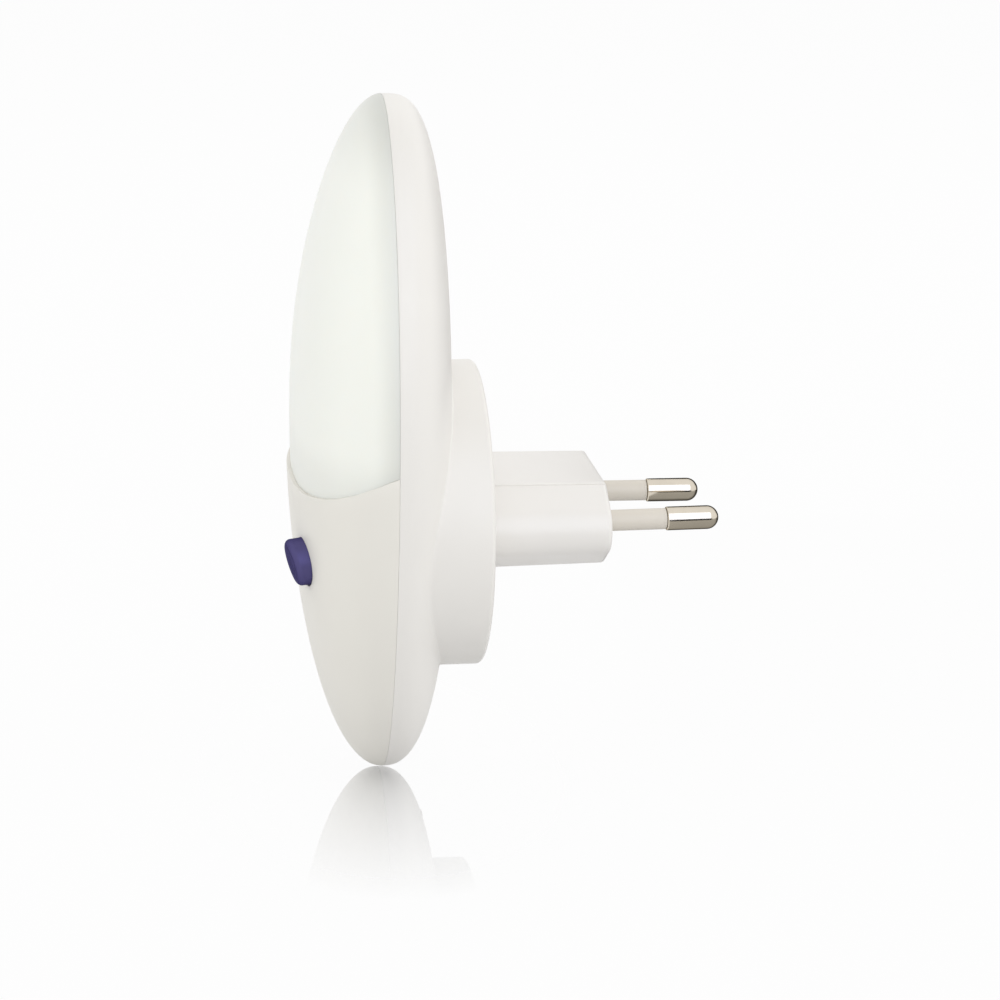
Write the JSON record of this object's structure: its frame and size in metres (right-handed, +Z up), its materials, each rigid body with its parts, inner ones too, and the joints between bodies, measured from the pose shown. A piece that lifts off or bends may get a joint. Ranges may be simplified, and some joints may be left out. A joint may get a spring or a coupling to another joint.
{
  "type": "night light",
  "caption": "Egg-shaped plug in night light: frosted upper diffuser, lower cover with a push button, round rear boss and a flat hexagonal mains plug with sleeved round pins.",
  "frame": {"origin": "centre of the rear boss's flat face, where the light meets the wall, on the axis of the plug", "axes": "+X along the plug into the wall socket, -X out of the front of the light, +Z up, +Y to the light's left as seen from behind it with the wall ahead"},
  "size_m": [0.0732, 0.058, 0.1152],
  "materials": {
    "diffuser": "frosted translucent white",
    "front_cover": "satin",
    "back_shell": "satin",
    "plug_body": "semi-gloss",
    "inner_plastic": "matt",
    "contact": "nickel plated, bright",
    "sleeve": "satin",
    "live_lead": "brown insulation",
    "neutral_lead": "blue insulation",
    "board": "green lacquered laminate",
    "reflector": "matt white",
    "led": "clear resin over phosphor",
    "film_capacitor": "matt",
    "electrolytic": "sleeved can",
    "black_package": "matt",
    "fuse_resistor": "lacquered",
    "small_resistors": "lacquered",
    "plunger": "matt",
    "button": "satin",
    "screw_steel": "zinc plated"
  },
  "bodies": {
    "housing": {"diffuser": "diffuser", "front_cover": "front_cover", "back_shell": "back_shell", "plug_body": "plug_body", "pin_retainer": "inner_plastic", "live_pin": "contact", "neutral_pin": "contact", "live_pin_sleeve": "sleeve", "neutral_pin_sleeve": "sleeve", "live_lead": "live_lead", "neutral_lead": "neutral_lead", "circuit_board": "board", "reflector_plate": "reflector", "led_lower_left": "led", "led_lower_right": "led", "led_upper_left": "led", "led_upper_right": "led", "mains_capacitor": "film_capacitor", "smoothing_capacitor": "electrolytic", "bridge_rectifier": "black_package", "fuse_resistor": "fuse_resistor", "small_resistors": "small_resistors", "controller_chip": "black_package", "switch_wedge": "inner_plastic", "switch_body": "black_package", "board_screws": "screw_steel", "case_screw": "screw_steel"},
    "button": {"button_cap": "button", "switch_plunger": "plunger"}
  },
  "joints": [
    {"name": "button_press", "type": "slide", "parent": "housing", "child": "button", "axis": [0.9809, 0.1641, 0.1045], "range_m": [0, 0.001], "stiffness_N_per_m": 2000, "springref_m": -0.0005}
  ]
}
